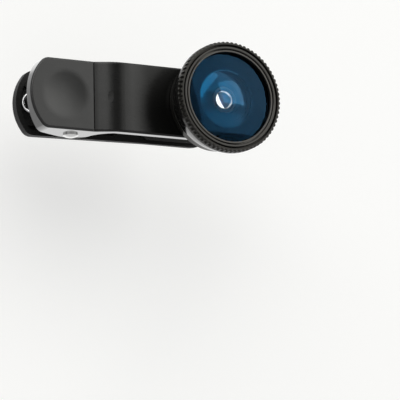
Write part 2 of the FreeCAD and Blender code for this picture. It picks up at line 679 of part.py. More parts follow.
# Front retaining ring: a narrow land round the glass, stepped down to the tube outside
retainer_low_z = front_vertex_z - sagitta(front_glass_curve, retainer_inner_radius) + retainer_seat
retainer_high_z = tube_front_z - fine_edge
retainer = turned((retainer_inner_radius, retainer_low_z), [
    ((front_cell_radius - press_fit, retainer_low_z),),
    ((front_cell_radius - press_fit, retainer_high_z - retainer_step),),
    ((retainer_land_radius, retainer_high_z - retainer_step),), ((retainer_land_radius, retainer_high_z),),
    ((retainer_inner_radius + fine_edge, retainer_high_z),),
    ((retainer_inner_radius, retainer_high_z - fine_edge),)])
save("front_retaining_ring", retainer)

# Spacer between the two glasses: a flange and a stepped funnel that keeps stray light down
funnel_low_z = funnel_floor_z + rest_gap
funnel_mouth_radius = front_glass_rear_radius - clear_margin
step_height = (front_glass_seat_z - funnel_low_z - inner_ring_height) / funnel_steps
step_width = (funnel_mouth_radius - web_aperture - press_fit) / funnel_steps
stair = []
for i in range(funnel_steps):
    stair_radius = funnel_mouth_radius - i * step_width
    stair_z = front_glass_seat_z - (i + 1) * step_height
    stair.append(((stair_radius, stair_z),))
    stair.append(((stair_radius - step_width, stair_z),))
spacer = turned((funnel_mouth_radius, front_glass_seat_z), stair + [
    ((web_aperture + press_fit, funnel_low_z),), ((funnel_radius, funnel_low_z),),
    ((funnel_radius, front_seat_z + rest_gap),), ((front_cell_radius - glass_fit, front_seat_z + rest_gap),),
    ((front_cell_radius - glass_fit, front_glass_seat_z),)])
save("element_spacer", spacer)

# Inner ring: bright-bevelled, pressed into the foot of the funnel round the small rear glass
inner_ring_top_z = funnel_low_z + inner_ring_height
inner_ring = turned((inner_ring_radius, funnel_low_z), [
    ((web_aperture, funnel_low_z),), ((web_aperture, inner_ring_top_z - fine_edge),),
    ((web_aperture - fine_edge, inner_ring_top_z),),
    ((inner_ring_radius + inner_ring_bevel, inner_ring_top_z),),
    ((inner_ring_radius, inner_ring_top_z - inner_ring_bevel),)])
save("inner_ring", inner_ring)

# Rear glass: biconvex, seated against the web from behind and held by a slotted ring
rear_clear = web_aperture - clear_margin
rear_high_z = web_rear_z - rest_gap
rear_low_z = rear_high_z - rear_glass_edge
rear_bulge = sagitta(rear_glass_curve, rear_clear)
rear_half = rear_bulge - sagitta(rear_glass_curve, rear_clear / 2)
rear_glass = turned((0, rear_low_z - rear_bulge), [
    ((rear_clear / 2, rear_low_z - rear_half), (rear_clear, rear_low_z)),
    ((rear_glass_radius - glass_fit, rear_low_z),), ((rear_glass_radius - glass_fit, rear_high_z),),
    ((rear_clear, rear_high_z),), ((rear_clear / 2, rear_high_z + rear_half), (0, rear_high_z + rear_bulge))])
save("rear_element", rear_glass)
rear_ring_high_z = rear_low_z - rest_gap
rear_ring_low_z = rear_ring_high_z - rear_ring_height
rear_ring = turned((web_aperture, rear_ring_low_z), [
    ((rear_glass_radius, rear_ring_low_z),), ((rear_glass_radius, rear_ring_high_z),),
    ((web_aperture, rear_ring_high_z),)])
save("rear_retaining_ring", slotted(rear_ring, rear_glass_radius, rear_ring_low_z + slot_depth))
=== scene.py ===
import bmesh
import bpy
import math
from mathutils import Matrix, Vector


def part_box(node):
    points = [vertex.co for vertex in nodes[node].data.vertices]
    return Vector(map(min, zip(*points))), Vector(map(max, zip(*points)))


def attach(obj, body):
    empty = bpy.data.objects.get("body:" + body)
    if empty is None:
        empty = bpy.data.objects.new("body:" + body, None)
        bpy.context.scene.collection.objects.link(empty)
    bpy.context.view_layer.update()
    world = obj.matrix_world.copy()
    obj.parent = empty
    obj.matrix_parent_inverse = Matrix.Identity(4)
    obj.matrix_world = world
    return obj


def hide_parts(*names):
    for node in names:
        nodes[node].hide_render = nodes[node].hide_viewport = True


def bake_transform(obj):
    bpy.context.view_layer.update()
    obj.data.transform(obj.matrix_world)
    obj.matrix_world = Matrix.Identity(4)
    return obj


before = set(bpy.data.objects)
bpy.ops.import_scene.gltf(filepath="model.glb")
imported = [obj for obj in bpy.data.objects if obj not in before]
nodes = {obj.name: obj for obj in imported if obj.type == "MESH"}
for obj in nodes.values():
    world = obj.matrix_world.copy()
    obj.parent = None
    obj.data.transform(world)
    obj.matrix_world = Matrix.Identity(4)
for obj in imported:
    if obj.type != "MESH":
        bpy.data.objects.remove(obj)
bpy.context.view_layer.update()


# Upper half of the clip. One moulding in black plastic: paddle with a thumb dimple, crease, ramp and the arm
# that carries the lens. Its top is satin from an etched mould, its side walls come from polished mould faces,
# and the hinge pin passes through its two ears.
def finish(name, colour, roughness, **sockets):
    """New material: its node tree, its shader and its Object coordinates."""
    material = bpy.data.materials.new(name)
    material.use_nodes = True
    tree = material.node_tree
    shader = tree.nodes["Principled BSDF"]
    shader.inputs["Base Color"].default_value = (*colour, 1)
    shader.inputs["Roughness"].default_value = roughness
    for label, value in sockets.items():
        shader.inputs[label.replace("_", " ")].default_value = value
    place = tree.nodes.new("ShaderNodeTexCoord").outputs["Object"]
    return material, tree, shader, place


def effect(name, inputs, outputs):
    """New node group for an effect that several finishes share."""
    tree = bpy.data.node_groups.new(name, "ShaderNodeTree")
    for label, kind, value in inputs:
        socket = tree.interface.new_socket(label, in_out="INPUT", socket_type=kind)
        if value is not None:
            socket.default_value = value
    for label, kind in outputs:
        tree.interface.new_socket(label, in_out="OUTPUT", socket_type=kind)
    return tree, tree.nodes.new("NodeGroupInput").outputs, tree.nodes.new("NodeGroupOutput").inputs


def add(tree, kind, inputs=(), **settings):
    """New node with its settings, and its inputs joined or given values by name or number."""
    node = tree.nodes.new(kind)
    for label, value in settings.items():
        setattr(node, label, value)
    for label, value in dict(inputs).items():
        if isinstance(value, bpy.types.NodeSocket):
            tree.links.new(value, node.inputs[label])
        else:
            node.inputs[label].default_value = value
    return node


def noise(tree, place, scale, detail=2.0, roughness=0.5):
    """Noise value at a scale per metre."""
    return add(tree, "ShaderNodeTexNoise", {
        "Vector": place, "Scale": scale, "Detail": detail, "Roughness": roughness}).outputs["Fac"]


def fade(tree, value, start, end, low=0.0, high=1.0, **settings):
    """Low up to the start, high from the end on, and the way from one to the other between them."""
    marks = {"Value": value, "From Min": start, "From Max": end, "To Min": low, "To Max": high}
    return add(tree, "ShaderNodeMapRange", marks, **settings).outputs["Result"]


def spread(tree, value, low, high):
    """A value from 0 to 1 spread between two others."""
    return fade(tree, value, 0.0, 1.0, low, high)


def reckon(tree, operation, *values):
    """One step of arithmetic on numbers or sockets."""
    return add(tree, "ShaderNodeMath", dict(enumerate(values)), operation=operation).outputs[0]


def blend_value(tree, share, first, second):
    """Value between two others, each a socket or a number."""
    return add(tree, "ShaderNodeMix", {"Factor": share, 2: first, 3: second}).outputs[0]


def blend_tint(tree, share, first, second):
    """Colour between two others, each a socket or three numbers."""
    first, second = ((*c, 1) if isinstance(c, tuple) else c for c in (first, second))
    return add(tree, "ShaderNodeMix", {"Factor": share, 6: first, 7: second}, data_type="RGBA").outputs[2]


def split_axes(tree, place):
    """The X, Y and Z of a place or a direction."""
    return add(tree, "ShaderNodeSeparateXYZ", {"Vector": place}).outputs


def shared(tree, group, place, **values):
    """A shared effect placed in one finish with its own values: its outputs."""
    node = tree.nodes.new("ShaderNodeGroup")
    node.node_tree = group
    tree.links.new(place, node.inputs["Place"])
    for label, value in values.items():
        if isinstance(value, bpy.types.NodeSocket):
            tree.links.new(value, node.inputs[label])
        else:
            node.inputs[label].default_value = value
    return node.outputs


def two_tone(tree, shader, cloud, dark, light, dust, dust_share, dust_colour):
    """Base colour between two tones, with specks of dust that cover it by a share."""
    tint = blend_tint(tree, cloud, dark, light)
    thin = reckon(tree, "MULTIPLY", dust, dust_share)
    tree.links.new(blend_tint(tree, thin, tint, dust_colour), shader.inputs["Base Color"])


def cover(nodes_named, material):
    """Give CAD nodes one finish."""
    for name in nodes_named:
        node = nodes[name]
        node.data.materials.clear()
        node.data.materials.append(material)


FLOAT, VECTOR = "NodeSocketFloat", "NodeSocketVector"

cloud_scale, patch_scale, patch_strength, wave_depth = 160.0, 420.0, 0.02, 0.00003
etched, ins, outs = effect("etched_mould", [
    ("Place", VECTOR, None), ("Grain", FLOAT, 5000.0), ("Depth", FLOAT, 0.00001), ("Roughness", FLOAT, 0.3)],
    [("Roughness", FLOAT), ("Normal", VECTOR), ("Cloud", FLOAT)])
fine = noise(etched, ins["Place"], ins["Grain"], detail=3.0)
broad = noise(etched, ins["Place"], cloud_scale)
patches = noise(etched, ins["Place"], patch_scale, detail=4.0)
patchy = spread(etched, patches, -patch_strength, patch_strength)
bumped = add(etched, "ShaderNodeBump", {"Height": fine, "Distance": ins["Depth"]}).outputs["Normal"]
waved = add(etched, "ShaderNodeBump", {"Height": broad, "Distance": wave_depth, "Normal": bumped})
etched.links.new(reckon(etched, "ADD", ins["Roughness"], patchy), outs["Roughness"])
etched.links.new(waved.outputs["Normal"], outs["Normal"])
etched.links.new(broad, outs["Cloud"])

speck_scale, speck_core, speck_rim = 900.0, 0.04, 0.09
scratch_turn, scratch_stretch = (0.3, 0.2, 0.6), (250.0, 9000.0, 2500.0)
scratch_start, scratch_full = 0.66, 0.72
marks, ins, outs = effect("handling_marks", [("Place", VECTOR, None), ("Share", FLOAT, 0.1)],
                          [("Dust", FLOAT), ("Scratches", FLOAT)])
cells = add(marks, "ShaderNodeTexVoronoi", {"Vector": ins["Place"], "Scale": speck_scale}).outputs
draw = add(marks, "ShaderNodeSeparateColor", {"Color": cells["Color"]}).outputs["Red"]
chosen = reckon(marks, "LESS_THAN", draw, ins["Share"])
speck = fade(marks, cells["Distance"], speck_core, speck_rim, low=1.0, high=0.0)
marks.links.new(reckon(marks, "MULTIPLY", chosen, speck), outs["Dust"])
drawn_out = add(marks, "ShaderNodeMapping", {
    "Vector": ins["Place"], "Rotation": scratch_turn, "Scale": scratch_stretch}).outputs["Vector"]
hairline = noise(marks, drawn_out, scale=1.0)
marks.links.new(fade(marks, hairline, scratch_start, scratch_full), outs["Scratches"])

# Painted shade: a share of metal in the same black, which mirrors hardly at all, darkens the top at the
# crease, in a band where the ramp meets the arm, and more and more towards the lens, in place of the shade
# that falls on what the top mirrors. Each pair is a place along the top in millimetres and that share.
painted_shade_stops = [(-29.3, 0.0), (-29.1, 0.5), (-28.2, 0.15), (-27.0, 0.12), (-25.6, 0.4), (-24.0, 0.6),
             (-22.5, 0.5), (-20.5, 0.26), (-19.0, 0.34), (-16.5, 0.6), (-13.0, 0.6), (-6.0, 0.66)]
shade_start, shade_end = -31.0, -5.0
paddle_top, arm_top, crease_x, ramp_top_x = 0.0012, 0.0032, -0.0292, -0.02449
wall_start, wall_full = 0.0005, 0.00062
paddle_roughness, ramp_roughness, wall_roughness, crease_blend = 0.36, 0.3, 0.07, 0.001
plastic_grain, plastic_grain_depth, scratch_shine = 6000.0, 0.000005, -0.05
plastic_black = (0.006, 0.006, 0.0057)
plastic_dark, plastic_light = (0.005, 0.005, 0.0047), (0.007, 0.007, 0.0066)
house_dust, dust_share = (0.11, 0.105, 0.095), 0.5
black_plastic, tree, shader, place = finish("black_moulded_plastic", plastic_black, paddle_roughness,
                                            Coat_Roughness=0.05)
axes = split_axes(tree, place)
top_face = fade(tree, axes["X"], crease_x, ramp_top_x, paddle_top, arm_top)
wall = fade(tree, reckon(tree, "SUBTRACT", top_face, axes["Z"]), wall_start, wall_full)
on_ramp = fade(tree, axes["X"], crease_x - crease_blend, crease_x, paddle_roughness, ramp_roughness)
painted_shade_ramp = add(tree, "ShaderNodeValToRGB", {"Fac": fade(tree, axes["X"], shade_start / 1000, shade_end / 1000)})
for spot, depth in painted_shade_stops:
    stop = painted_shade_ramp.color_ramp.elements.new((spot - shade_start) / (shade_end - shade_start))
    stop.color = (depth, depth, depth, 1)
painted_shade_ramp.color_ramp.elements.remove(painted_shade_ramp.color_ramp.elements[0])
painted_shade_ramp.color_ramp.elements.remove(painted_shade_ramp.color_ramp.elements[-1])
topside = reckon(tree, "SUBTRACT", 1.0, wall)
# Painted shade: the share of metal on the top faces follows the stops above.
tree.links.new(reckon(tree, "MULTIPLY", topside, painted_shade_ramp.outputs["Color"]), shader.inputs["Metallic"])
grain_depth = spread(tree, wall, plastic_grain_depth, 0.0)
grain = shared(tree, etched, place, Grain=plastic_grain, Depth=grain_depth, Roughness=on_ramp)
worn = shared(tree, marks, place, Share=0.05)
polished = blend_value(tree, wall, grain["Roughness"], wall_roughness)
scratched = reckon(tree, "MULTIPLY_ADD", worn["Scratches"], scratch_shine, polished)
tree.links.new(scratched, shader.inputs["Roughness"])
tree.links.new(grain["Normal"], shader.inputs["Normal"])
tree.links.new(wall, shader.inputs["Coat Weight"])
two_tone(tree, shader, grain["Cloud"], plastic_dark, plastic_light, worn["Dust"], dust_share, house_dust)
cover(["upper_clip_shell"], black_plastic)

# Upper jaw pad. Soft silicone rubber, moulded flat with rolled edges and a round port for the light.
# It is glued into the recess under the arm. Its faces are dull and hold a little dust.
pad_points, pad_edge_roll, light_port = 128, 0.00028, 0.0062
rubber_roughness, rubber_grain, rubber_grain_depth, rubber_dust_share = 0.72, 9000.0, 0.00002, 0.6
rubber_dark, rubber_light, rubber_dust = (0.012, 0.012, 0.012), (0.02, 0.0195, 0.019), (0.13, 0.125, 0.12)
rubber, tree, shader, place = finish("pad_rubber", (0.015, 0.015, 0.015), rubber_roughness)
grain = shared(tree, etched, place, Grain=rubber_grain, Depth=rubber_grain_depth, Roughness=rubber_roughness)
worn = shared(tree, marks, place, Share=0.35)
tree.links.new(grain["Roughness"], shader.inputs["Roughness"])
tree.links.new(grain["Normal"], shader.inputs["Normal"])
two_tone(tree, shader, grain["Cloud"], rubber_dark, rubber_light, worn["Dust"], rubber_dust_share,
         rubber_dust)


def pad_outline(shape, half, back, z):
    """Loop of a jaw pad's outline: half-round at the jaw end, square at the back."""
    loop = bmesh.ops.create_circle(shape, segments=pad_points, radius=half)["verts"]
    for vertex in loop:
        x, y = vertex.co.xy / half
        reach = half if x > 0 else min(half / max(abs(y), 1e-6), back / max(abs(x), 1e-6))
        vertex.co = (x * reach, y * reach, z)


def raise_faces(shape, faces, height):
    """Pull faces up into a solid."""
    pulled = bmesh.ops.extrude_face_region(shape, geom=faces)["geom"]
    corners = [g for g in pulled if isinstance(g, bmesh.types.BMVert)]
    bmesh.ops.translate(shape, verts=corners, vec=(0, 0, height))


def roll_edges(shape, height, width, steps=3, corner=0.8):
    """Round the sharp edges that lie at one height."""
    level = [e for e in shape.edges if all(abs(v.co.z - height) < 1e-6 for v in e.verts)]
    sharp = [e for e in level if e.calc_face_angle(0) > corner]
    bmesh.ops.bevel(shape, geom=sharp, affect="EDGES", offset=width, segments=steps, profile=0.5,
                    material=-1)


def piece_from(shape, name, body, material, replaced):
    """Close a shape's work: a smooth piece on its body, in its finish, in place of its CAD node."""
    bmesh.ops.remove_doubles(shape, verts=shape.verts, dist=1e-7)
    bmesh.ops.recalc_face_normals(shape, faces=shape.faces)
    mesh = bpy.data.meshes.new(name)
    shape.to_mesh(mesh)
    shape.free()
    mesh.shade_smooth()
    mesh.set_sharp_from_angle(angle=math.radians(35))
    piece = bpy.data.objects.new(name, mesh)
    bpy.context.scene.collection.objects.link(piece)
    mesh.materials.append(material)
    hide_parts(replaced)
    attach(piece, body)
    return piece


pad_low, pad_high = (corner.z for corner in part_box("upper_jaw_pad"))
pad_half, pad_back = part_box("upper_jaw_pad")[1].y, -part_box("upper_jaw_pad")[0].x
blank = bmesh.new()
port = bmesh.ops.create_circle(blank, segments=pad_points, radius=light_port)["verts"]
bmesh.ops.translate(blank, verts=port, vec=(0, 0, pad_low))
pad_outline(blank, pad_half, pad_back, pad_low)
bmesh.ops.bridge_loops(blank, edges=blank.edges)
raise_faces(blank, blank.faces[:], pad_high - pad_low)
roll_edges(blank, pad_low, pad_edge_roll)
piece_from(blank, "upper_rubber_pad", "upper_clip", rubber, "upper_jaw_pad")

# Lower half of the clip. A second moulding in the same black plastic, etched all over: handle tray with a rim
# and two ribs, lugs that turn on the pin between the ears, and the lower jaw.
tray_roughness, tray_scratch_shine = 0.5, -0.06
lower_plastic, tree, shader, place = finish("black_etched_plastic", plastic_black, tray_roughness,
                                            Specular_IOR_Level=0.3)
grain = shared(tree, etched, place, Grain=plastic_grain, Depth=plastic_grain_depth, Roughness=tray_roughness)
worn = shared(tree, marks, place, Share=0.08)
scratched = reckon(tree, "MULTIPLY_ADD", worn["Scratches"], tray_scratch_shine, grain["Roughness"])
tree.links.new(scratched, shader.inputs["Roughness"])
tree.links.new(grain["Normal"], shader.inputs["Normal"])
two_tone(tree, shader, grain["Cloud"], plastic_dark, plastic_light, worn["Dust"], dust_share, house_dust)
cover(["lower_clip_shell"], lower_plastic)

# Lower jaw pad. The same silicone rubber, with cross grooves for a better grip. It is glued into the lower
# jaw and faces the upper pad.
groove_count, groove_pitch, first_groove_x = 9, 0.002, -0.0105
groove_depth, groove_width = 0.00035, 0.0006
ridge_roll, ridge_roll_steps = 0.0001, 2
pad_low, pad_high = (corner.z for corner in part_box("lower_jaw_pad"))
pad_half, pad_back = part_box("lower_jaw_pad")[1].y, -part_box("lower_jaw_pad")[0].x
groove_floor = pad_high - groove_depth
blank = bmesh.new()
pad_outline(blank, pad_half, pad_back, pad_low)
bmesh.ops.contextual_create(blank, geom=blank.edges[:])
raise_faces(blank, blank.faces[:], groove_floor - pad_low)
bmesh.ops.contextual_create(blank, geom=[e for e in blank.edges if e.is_boundary])
for groove in range(groove_count):
    for side in (0, groove_width):
        cut_x = first_groove_x + groove_pitch * groove + side
        bmesh.ops.bisect_plane(blank, geom=blank.verts[:] + blank.edges[:] + blank.faces[:],
                               plane_co=(cut_x, 0, 0), plane_no=(1, 0, 0))
ridges = []
for face in blank.faces:
    middle = face.calc_center_median()
    on_top = face.normal.z > 0.9 and middle.z > groove_floor - 1e-6
    if on_top and not 0 < (middle.x - first_groove_x) % groove_pitch < groove_width:
        ridges.append(face)
raise_faces(blank, ridges, groove_depth)
roll_edges(blank, pad_high, ridge_roll, ridge_roll_steps)
piece_from(blank, "lower_rubber_pad", "lower_clip", rubber, "lower_jaw_pad")

# Torsion spring. One bright steel wire, wound cold: an outer leg under the paddle on each side, a coil round
# the pin on each side, and a loop in the middle that presses on the lower handle. It lies loose on the pin.
pin_x, pin_z = -0.0332, -0.0037
wire_radius, coil_radius, coil_turns, coil_steps = 0.00038, 0.00195, 3, 120
coil_outer_y, loop_half_width, loop_steps, wire_roundness = 0.00527, 0.002285, 16, 5
leg_tip, loop_tip = (-0.041573, -0.00108), (-0.04192, -0.01075)


def touching(radius, tip, side):
    """Bearing at which a straight leg from its tip meets the coil."""
    away = math.hypot(tip[0] - pin_x, tip[1] - pin_z)
    return math.atan2(tip[1] - pin_z, tip[0] - pin_x) + side * math.acos(radius / away)


leg_bearing = touching(coil_radius, leg_tip, -1)
loop_bearing = touching(coil_radius, loop_tip, 1)
coil_sweep = (leg_bearing - loop_bearing) % (2 * math.pi) + coil_turns * 2 * math.pi
half_wire = [Vector((leg_tip[0], coil_outer_y, leg_tip[1]))]
for step in range(coil_steps + 1):
    wound = step / coil_steps
    bearing = leg_bearing - coil_sweep * wound
    half_wire.append(Vector((pin_x + coil_radius * math.cos(bearing),
                             coil_outer_y - (coil_outer_y - loop_half_width) * wound,
                             pin_z + coil_radius * math.sin(bearing))))
leave = half_wire[-1]
down = Vector((loop_tip[0] - leave.x, 0, loop_tip[1] - leave.z)).normalized()
for step in range(loop_steps + 1):
    swing = math.pi / 2 * step / loop_steps
    half_wire.append(Vector((loop_tip[0], loop_half_width * math.cos(swing), loop_tip[1]))
                     - down * loop_half_width * (1 - math.sin(swing)))
wire_line = half_wire + [Vector((p.x, -p.y, p.z)) for p in reversed(half_wire[:-1])]
wire_curve = bpy.data.curves.new("spring_line", "CURVE")
wire_curve.dimensions = "3D"
wire_curve.bevel_depth = wire_radius
wire_curve.bevel_resolution = wire_roundness
wire_curve.use_fill_caps = True
spline = wire_curve.splines.new("POLY")
spline.points.add(len(wire_line) - 1)
for point, where in zip(spline.points, wire_line):
    point.co = (*where, 1)
line_object = bpy.data.objects.new("spring_line", wire_curve)
spring_mesh = bpy.data.meshes.new_from_object(line_object)
bpy.data.objects.remove(line_object)
spring_mesh.shade_smooth()
spring = bpy.data.objects.new("spring_wire", spring_mesh)
bpy.context.scene.collection.objects.link(spring)
die_mark_depth = 0.000006
spring_steel, tree, shader, place = finish("drawn_spring_steel", (0.6, 0.6, 0.61), 0.22, Metallic=1.0)
drawn = noise(tree, place, scale=2200.0, detail=4.0)
tree.links.new(spread(tree, drawn, low=0.14, high=0.34), shader.inputs["Roughness"])
die_marks = add(tree, "ShaderNodeBump", {"Height": drawn, "Distance": die_mark_depth}).outputs["Normal"]
tree.links.new(die_marks, shader.inputs["Normal"])
spring.data.materials.append(spring_steel)
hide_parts("torsion_spring")
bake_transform(spring)

# Hinge pin and its cap. Nickel-plated steel: the pin goes in from the near side and the cap is pressed on the
# far end. Both heads are low domes with a few fine scratches.
scratch_dulling = 0.2
nickel, tree, shader, place = finish("nickel_plate", (0.78, 0.78, 0.77), 0.12, Metallic=1.0)
worn = shared(tree, marks, place, Share=0.0)
scuff = spread(tree, noise(tree, place, scale=1800.0, detail=5.0, roughness=0.65), low=0.05, high=0.2)
scratched = reckon(tree, "MULTIPLY_ADD", worn["Scratches"], scratch_dulling, scuff)
tree.links.new(scratched, shader.inputs["Roughness"])
cover(["hinge_pin", "pin_end_cap"], nickel)


# Close-up lens. A turned and black-anodised aluminium barrel that screws into the arm, with its glass and the
# slotted ring that holds it. The tool leaves faint rings on the metal.
def from_lens_axis(tree, place):
    """Distance of a place from the lens axis."""
    axes = split_axes(tree, place)
    flat = add(tree, "ShaderNodeCombineXYZ", {"X": axes["X"], "Y": axes["Y"]}).outputs["Vector"]
    return add(tree, "ShaderNodeVectorMath", {0: flat}, operation="LENGTH").outputs["Value"]


ring_swing, wear_scale = 0.06, 300.0
turned, ins, outs = effect("turned_metal", [
    ("Place", VECTOR, None), ("Rings", FLOAT, 9000.0), ("Depth", FLOAT, 0.000004),
    ("Roughness", FLOAT, 0.25)], [("Roughness", FLOAT), ("Normal", VECTOR), ("Wear", FLOAT)])
tool_path = reckon(turned, "ADD", from_lens_axis(turned, ins["Place"]), split_axes(turned, ins["Place"])["Z"])
rings = add(turned, "ShaderNodeTexNoise", {"W": tool_path, "Scale": ins["Rings"], "Detail": 2.0},
            noise_dimensions="1D").outputs["Fac"]
ring_roughness = reckon(turned, "ADD", ins["Roughness"], spread(turned, rings, -ring_swing, ring_swing))
ring_normal = add(turned, "ShaderNodeBump", {"Height": rings, "Distance": ins["Depth"]}).outputs["Normal"]
turned.links.new(ring_roughness, outs["Roughness"])
turned.links.new(ring_normal, outs["Normal"])
turned.links.new(noise(turned, ins["Place"], wear_scale, detail=3.0), outs["Wear"])


def anodised(name, dark, light, roughness, rings_per_m, ring_depth, level=0.5):
    """Black anodised aluminium, turned: two tones, faint tool rings and a slightly warm sheen."""
    material, tree, shader, place = finish(name, dark, roughness, Specular_IOR_Level=level,
                                           Specular_Tint=(1.0, 0.97, 0.91, 1))
    lathe = shared(tree, turned, place, Rings=rings_per_m, Depth=ring_depth, Roughness=roughness)
    worn = shared(tree, marks, place, Share=0.04)
    tree.links.new(lathe["Roughness"], shader.inputs["Roughness"])
    tree.links.new(lathe["Normal"], shader.inputs["Normal"])
    two_tone(tree, shader, lathe["Wear"], dark, light, worn["Dust"], dust_share, house_dust)
    return material


barrel_black = anodised("barrel_black", dark=(0.006, 0.006, 0.0055), light=(0.012, 0.0115, 0.0105),
                        roughness=0.2, rings_per_m=7000.0, ring_depth=0.000003)
cover(["macro_barrel", "macro_retaining_ring", "rear_retaining_ring"], barrel_black)


def turn_on_lathe(outline, steps=160):
    """Lathe work: an open outline of (radius, height) in millimetres, from axis to axis or closed on itself,
    spun round the lens axis."""
    shape = bmesh.new()
    points = [shape.verts.new((r / 1000, 0, z / 1000)) for r, z in outline]
    edges = [shape.edges.new((a, b)) for a, b in zip(points, points[1:])]
    if outline[0][0] > 0.001:
        edges.append(shape.edges.new((points[-1], points[0])))
    bmesh.ops.spin(shape, geom=points + edges, cent=(0, 0, 0), axis=(0, 0, 1), angle=2 * math.pi, steps=steps,
                   use_merge=True)
    return shape


def cap_curve(curve, high, top, count, up=1):
    """Points on a spherical face, from the axis to a radius, given its vertex height and curve radius."""
    reaches = [high * i / count for i in range(count + 1)]
    return [(reach, top - up * (curve - math.sqrt(curve ** 2 - reach ** 2))) for reach in reaches]


def convex_disc(curve, clear, edge, low, high, count=14):
    """Outline of a glass that bulges on both faces inside its flat seats."""
    bulge = curve - math.sqrt(curve ** 2 - clear ** 2)
    outline = cap_curve(curve, clear, low - bulge, count, -1)
    outline += [(edge, low), (edge, high)]
    return outline + cap_curve(curve, clear, high + bulge, count)[::-1]


def coated_glass(name, tint, bounce):
    """Optical glass with an anti-reflection coat that throws back one colour, and a faint smear on it."""
    material, tree, shader, place = finish(name, tint, 0.0, IOR=1.52, Transmission_Weight=1.0,
                                           Specular_Tint=(*bounce, 1))
    smear = noise(tree, place, scale=260.0, detail=4.0, roughness=0.6)
    tree.links.new(spread(tree, smear, low=0.0, high=0.002), shader.inputs["Roughness"])
    return material


close_up_outline = convex_disc(curve=40, clear=6.5, edge=7.55, low=3.92, high=4.62)
violet_coat = coated_glass("violet_coated_glass", tint=(0.97, 0.99, 1.0), bounce=(0.55, 0.45, 0.9))
piece_from(turn_on_lathe(close_up_outline), "close_up_glass_disc", "close_up_glass", violet_coat,
           "macro_element")

# Wide-angle lens: barrel. Turned aluminium, black anodised and polished on its tapered band, which mirrors
# its surroundings. It screws onto the close-up lens.
band_black = anodised("band_black", dark=(0.006, 0.006, 0.0058), light=(0.01, 0.0095, 0.009),
                      roughness=0.16, rings_per_m=5000.0, ring_depth=0.000002, level=0.36)
cover(["wide_barrel"], band_black)

# Wide-angle lens: spacer and inner ring. A dull black stepped funnel stands between the two glasses, and a
# black ring with a bright bevelled edge is pressed into its foot round the small rear glass.
baffle, tree, shader, place = finish("baffle_black", (0.003, 0.003, 0.003), 0.7, Specular_IOR_Level=0.05)
dull = spread(tree, noise(tree, place, scale=3000.0), low=0.6, high=0.8)
tree.links.new(dull, shader.inputs["Roughness"])
cover(["element_spacer"], baffle)
bevel_edge, paint_edge = 0.0022, 0.00225
paint_black, bare_metal = (0.006, 0.006, 0.006), (0.7, 0.71, 0.74)
bright_edge, tree, shader, place = finish("bright_edged_ring", (0.01, 0.01, 0.01), 0.3,
                                          Specular_IOR_Level=0.15)
bare = fade(tree, from_lens_axis(tree, place), bevel_edge, paint_edge, low=1.0, high=0.0)
tree.links.new(bare, shader.inputs["Metallic"])
tree.links.new(blend_tint(tree, bare, paint_black, bare_metal), shader.inputs["Base Color"])
cut_marks = spread(tree, noise(tree, place, scale=2500.0), low=0.15, high=0.35)
tree.links.new(cut_marks, shader.inputs["Roughness"])
cover(["inner_ring"], bright_edge)

# Wide-angle lens: the small rear glass. It is ground and polished on both faces and coated blue-violet. It
# sits in the foot of the barrel and is held from behind by a slotted ring.
rear_outline = convex_disc(curve=12, clear=3.2, edge=3.95, low=6.08, high=7.28)
rear_coat = coated_glass("rear_coated_glass", tint=(0.93, 0.97, 1.0), bounce=(0.12, 0.2, 0.4))
piece_from(turn_on_lathe(rear_outline), "rear_glass", "wide_glass", rear_coat, "rear_element")

# Wide-angle lens: the large front glass. Its front is coated blue, its hollow back is coated deeper blue and
# mirrors the lights in a smaller disc, and its ground seat and rim are painted black against stray light.
front_curve, front_top, front_seat, front_edge = 120, 12.15, 9.32, 11.2
hollow_curve, hollow_edge, face_steps, glass_steps = 22, 6.8, 28, 192
rim_depth, seat_depth = 0.05, 0.01
hollow_top = front_seat + hollow_curve - math.sqrt(hollow_curve ** 2 - hollow_edge ** 2)
front_outline = cap_curve(hollow_curve, hollow_edge, hollow_top, face_steps) + [(front_edge, front_seat)]
front_outline += cap_curve(front_curve, front_edge, front_top, face_steps)[::-1]
front_coat = coated_glass("front_coated_glass", tint=(0.95, 0.98, 1.0), bounce=(0.04, 0.25, 0.53))
hollow_coat = coated_glass("hollow_coated_glass", tint=(0.95, 0.98, 1.0), bounce=(0.03, 0.76, 1.7))
edge_paint, tree, shader, place = finish("lens_edge_paint", (0.002, 0.002, 0.002), 0.6,
                                         Specular_IOR_Level=0.0)
brush_marks = spread(tree, noise(tree, place, scale=4000.0), low=0.5, high=0.7)
tree.links.new(brush_marks, shader.inputs["Roughness"])
front_glass = piece_from(turn_on_lathe(front_outline, glass_steps), "front_glass", "wide_glass", front_coat,
                         "front_element")
front_glass.data.materials.append(hollow_coat)
front_glass.data.materials.append(edge_paint)
for face in front_glass.data.polygons:
    reach, height = face.center.xy.length * 1000, face.center.z * 1000
    if reach > front_edge - rim_depth or (reach > hollow_edge and height < front_seat + seat_depth):
        face.material_index = 2
    elif height < hollow_top + seat_depth:
        face.material_index = 1

# Wide-angle lens: front retaining ring. A slim black-anodised aluminium ring that screws into the mouth of
# the barrel and holds the front glass. Its land stands over a dark step.
slim_outline = [(10.6, 11.86), (11.24, 11.86), (11.24, 11.98), (11.0, 11.98), (11.0, 12.66), (10.96, 12.7),
                (10.65, 12.7), (10.6, 12.65)]
slim_black = anodised("slim_black", dark=(0.007, 0.007, 0.0065), light=(0.012, 0.0115, 0.0105),
                      roughness=0.22, rings_per_m=8000.0, ring_depth=0.000002)
piece_from(turn_on_lathe(slim_outline, glass_steps), "slim_retaining_ring", "wide_lens", slim_black,
           "front_retaining_ring")

